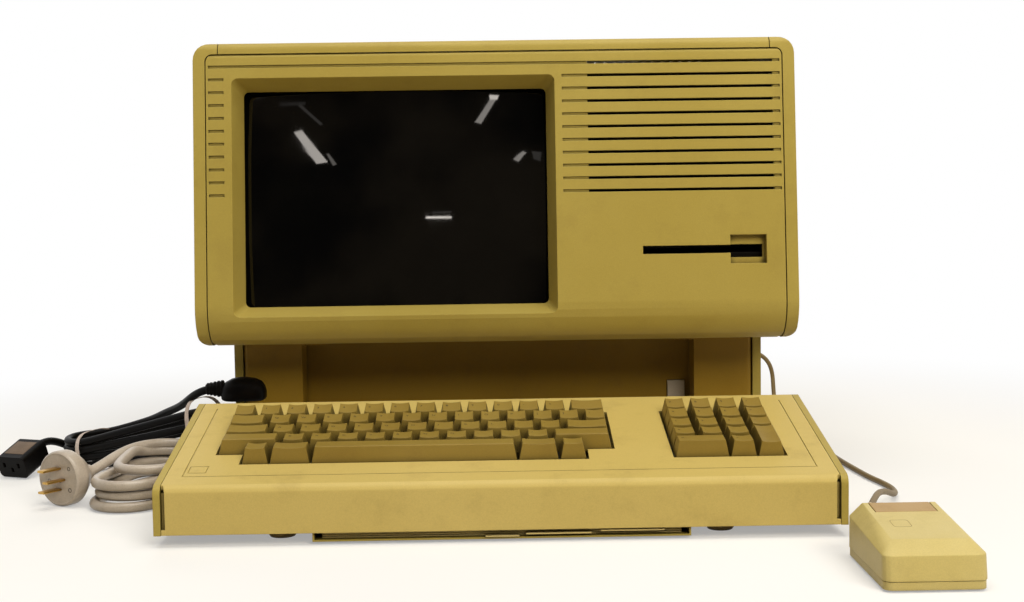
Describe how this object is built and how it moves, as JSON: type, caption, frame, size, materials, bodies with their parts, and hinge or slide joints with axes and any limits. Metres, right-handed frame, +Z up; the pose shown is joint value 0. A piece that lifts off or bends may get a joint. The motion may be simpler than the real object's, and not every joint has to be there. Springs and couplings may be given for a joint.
{
  "type": "desktop computer with keyboard and mouse",
  "caption": "One-piece desktop computer: an overhanging head with picture tube, louvres and disk slot on a pedestal, with its separate keyboard, mouse and mains leads.",
  "frame": {"origin": "on the desk, under the middle of the box of the set without its leads", "axes": "+X to the right of the user, +Y from the user to the back of the unit, +Z up"},
  "size_m": [0.715, 0.7843, 0.3495],
  "materials": {
    "case_plastic": "fine textured, aged",
    "deck_plastic": "fine textured, aged",
    "key_plastic": "satin",
    "mouse_plastic": "satin",
    "tan_plastic": "satin",
    "grey_button": "smooth",
    "red_plastic": "smooth",
    "tube_glass": "polished dark glass, opaque",
    "winding": "varnished wire",
    "zinc_steel": "zinc plated sheet",
    "steel_ball": "rubber coated steel",
    "circuit_board": "satin",
    "black_plastic": "satin",
    "rubber": "matt",
    "lead_brown": "satin",
    "grey_pvc": "satin",
    "black_pvc": "satin"
  },
  "bodies": {
    "unit": {"base_pan": "zinc_steel", "base_feet": "rubber", "case_left": "case_plastic", "case_right": "case_plastic", "top_cover": "case_plastic", "column_front": "case_plastic", "picture_tube": "tube_glass", "deflection_yoke": "winding", "tube_bracket": "zinc_steel", "disk_drive": "zinc_steel", "power_supply": "zinc_steel", "card_cage": "zinc_steel", "circuit_boards": "circuit_board", "port_panel": "zinc_steel", "mains_inlet": "black_plastic", "speaker": "black_plastic", "chassis_shelf": "zinc_steel", "mouse_shell": "mouse_plastic", "mouse_base": "mouse_plastic", "mouse_lead": "lead_brown", "mouse_plug": "case_plastic", "grey_plug": "grey_pvc", "grey_lead": "grey_pvc", "grey_hank": "grey_pvc", "grey_socket": "grey_pvc", "black_socket": "black_pvc", "black_lead": "black_pvc", "black_hank": "black_pvc", "black_plug": "black_pvc"},
    "keyboard": {"keyboard_case": "deck_plastic", "keyboard_base": "case_plastic", "keyboard_feet": "rubber", "key_switches": "zinc_steel", "card_tray": "case_plastic"},
    "front_panel": {"front_panel": "case_plastic"},
    "rear_panel": {"rear_panel": "case_plastic"},
    "power_button": {"power_button": "grey_button"},
    "panel_tab_left": {"panel_tab_left": "case_plastic"},
    "panel_tab_right": {"panel_tab_right": "case_plastic"},
    "rear_knob_left": {"rear_knob_left": "black_plastic"},
    "rear_knob_right": {"rear_knob_right": "black_plastic"},
    "reset_button": {"reset_button": "red_plastic"},
    "card_upper": {"card_upper": "deck_plastic"},
    "card_middle": {"card_middle": "deck_plastic"},
    "card_lower": {"card_lower": "deck_plastic"},
    "keys_row_1": {"keys_row_1": "key_plastic"},
    "keys_row_2": {"keys_row_2": "key_plastic"},
    "keys_row_3": {"keys_row_3": "key_plastic"},
    "keys_row_4": {"keys_row_4": "key_plastic"},
    "keys_row_5": {"keys_row_5": "key_plastic"},
    "key_space": {"key_space": "key_plastic"},
    "key_return": {"key_return": "key_plastic"},
    "key_shift_left": {"key_shift_left": "key_plastic"},
    "key_shift_right": {"key_shift_right": "key_plastic"},
    "keypad_keys": {"keypad_keys": "key_plastic"},
    "keypad_enter": {"keypad_enter": "key_plastic"},
    "mouse_button": {"mouse_button": "tan_plastic"},
    "mouse_ball": {"mouse_ball": "steel_ball"},
    "mouse_roller_x": {"mouse_roller_x": "zinc_steel"},
    "mouse_roller_y": {"mouse_roller_y": "zinc_steel"}
  },
  "joints": [
    {"name": "front_panel_tilt", "type": "hinge", "parent": "unit", "child": "front_panel", "pos_m": [-0.022, -0.00766, 0.3407], "axis": [-1, 0, 0], "range_deg": [0, 25]},
    {"name": "panel_tab_left_press", "type": "slide", "parent": "front_panel", "child": "panel_tab_left", "axis": [0, 0, 1], "range_m": [0, 0.004], "stiffness_N_per_m": 300, "springref_m": -0.002},
    {"name": "panel_tab_right_press", "type": "slide", "parent": "front_panel", "child": "panel_tab_right", "axis": [0, 0, 1], "range_m": [0, 0.004], "stiffness_N_per_m": 300, "springref_m": -0.002},
    {"name": "rear_panel_tilt", "type": "hinge", "parent": "unit", "child": "rear_panel", "pos_m": [-0.022, 0.35075, 0.096], "axis": [-1, 0, 0], "range_deg": [0, 70]},
    {"name": "rear_knob_left_turn", "type": "hinge", "parent": "rear_panel", "child": "rear_knob_left", "pos_m": [-0.212, 0.35075, 0.318], "axis": [0, 1, 0], "range_deg": [0, 90]},
    {"name": "rear_knob_right_turn", "type": "hinge", "parent": "rear_panel", "child": "rear_knob_right", "pos_m": [0.168, 0.35075, 0.318], "axis": [0, 1, 0], "range_deg": [0, 90]},
    {"name": "power_button_press", "type": "slide", "parent": "unit", "child": "power_button", "axis": [0, 1, 0], "range_m": [0, 0.002], "stiffness_N_per_m": 400, "springref_m": -0.002},
    {"name": "reset_button_press", "type": "slide", "parent": "unit", "child": "reset_button", "axis": [0, -1, 0], "range_m": [0, 0.002], "stiffness_N_per_m": 300, "springref_m": -0.002},
    {"name": "keyboard_slide", "type": "slide", "parent": "unit", "child": "keyboard", "axis": [0, 1, 0], "range_m": [0, 0.025]},
    {"name": "keys_row_1_press", "type": "slide", "parent": "keyboard", "child": "keys_row_1", "axis": [0, -0.1822, 0.9833], "range_m": [-0.0035, 0], "stiffness_N_per_m": 2520, "springref_m": 0.002},
    {"name": "keys_row_2_press", "type": "slide", "parent": "keyboard", "child": "keys_row_2", "axis": [0, -0.1822, 0.9833], "range_m": [-0.0035, 0], "stiffness_N_per_m": 2520, "springref_m": 0.002},
    {"name": "keys_row_3_press", "type": "slide", "parent": "keyboard", "child": "keys_row_3", "axis": [0, -0.1822, 0.9833], "range_m": [-0.0035, 0], "stiffness_N_per_m": 2160, "springref_m": 0.002},
    {"name": "keys_row_4_press", "type": "slide", "parent": "keyboard", "child": "keys_row_4", "axis": [0, -0.1822, 0.9833], "range_m": [-0.0035, 0], "stiffness_N_per_m": 1800, "springref_m": 0.002},
    {"name": "keys_row_5_press", "type": "slide", "parent": "keyboard", "child": "keys_row_5", "axis": [0, -0.1822, 0.9833], "range_m": [-0.0035, 0], "stiffness_N_per_m": 720, "springref_m": 0.002},
    {"name": "keypad_keys_press", "type": "slide", "parent": "keyboard", "child": "keypad_keys", "axis": [0, -0.1822, 0.9833], "range_m": [-0.0035, 0], "stiffness_N_per_m": 3060, "springref_m": 0.002},
    {"name": "key_space_press", "type": "slide", "parent": "keyboard", "child": "key_space", "axis": [0, -0.1822, 0.9833], "range_m": [-0.0035, 0], "stiffness_N_per_m": 360, "springref_m": 0.002},
    {"name": "key_return_press", "type": "slide", "parent": "keyboard", "child": "key_return", "axis": [0, -0.1822, 0.9833], "range_m": [-0.0035, 0], "stiffness_N_per_m": 180, "springref_m": 0.002},
    {"name": "key_shift_left_press", "type": "slide", "parent": "keyboard", "child": "key_shift_left", "axis": [0, -0.1822, 0.9833], "range_m": [-0.0035, 0], "stiffness_N_per_m": 180, "springref_m": 0.002},
    {"name": "key_shift_right_press", "type": "slide", "parent": "keyboard", "child": "key_shift_right", "axis": [0, -0.1822, 0.9833], "range_m": [-0.0035, 0], "stiffness_N_per_m": 180, "springref_m": 0.002},
    {"name": "keypad_enter_press", "type": "slide", "parent": "keyboard", "child": "keypad_enter", "axis": [0, -0.1822, 0.9833], "range_m": [-0.0035, 0], "stiffness_N_per_m": 180, "springref_m": 0.002},
    {"name": "card_lower_pull", "type": "slide", "parent": "keyboard", "child": "card_lower", "axis": [0, -1, 0], "range_m": [0, 0.08]},
    {"name": "card_middle_pull", "type": "slide", "parent": "keyboard", "child": "card_middle", "axis": [0, -1, 0], "range_m": [0, 0.08]},
    {"name": "card_upper_pull", "type": "slide", "parent": "keyboard", "child": "card_upper", "axis": [0, -1, 0], "range_m": [0, 0.08]},
    {"name": "mouse_button_press", "type": "slide", "parent": "unit", "child": "mouse_button", "axis": [0, 0, -1], "range_m": [0, 0.0012], "stiffness_N_per_m": 500, "springref_m": -0.0012},
    {"name": "mouse_ball_roll", "type": "hinge", "parent": "unit", "child": "mouse_ball", "pos_m": [0.2265, -0.31675, 0.0125], "axis": [1, 0, 0], "continuous": true},
    {"name": "mouse_roller_y_spin", "type": "hinge", "parent": "unit", "child": "mouse_roller_y", "pos_m": [0.2265, -0.3016, 0.0125], "axis": [1, 0, 0], "continuous": true},
    {"name": "mouse_roller_x_spin", "type": "hinge", "parent": "unit", "child": "mouse_roller_x", "pos_m": [0.24165, -0.31675, 0.0125], "axis": [0, 1, 0], "continuous": true}
  ],
  "couplings": [
    {"joint": "mouse_roller_y_spin", "follows": "mouse_ball_roll", "ratio": -5}
  ]
}
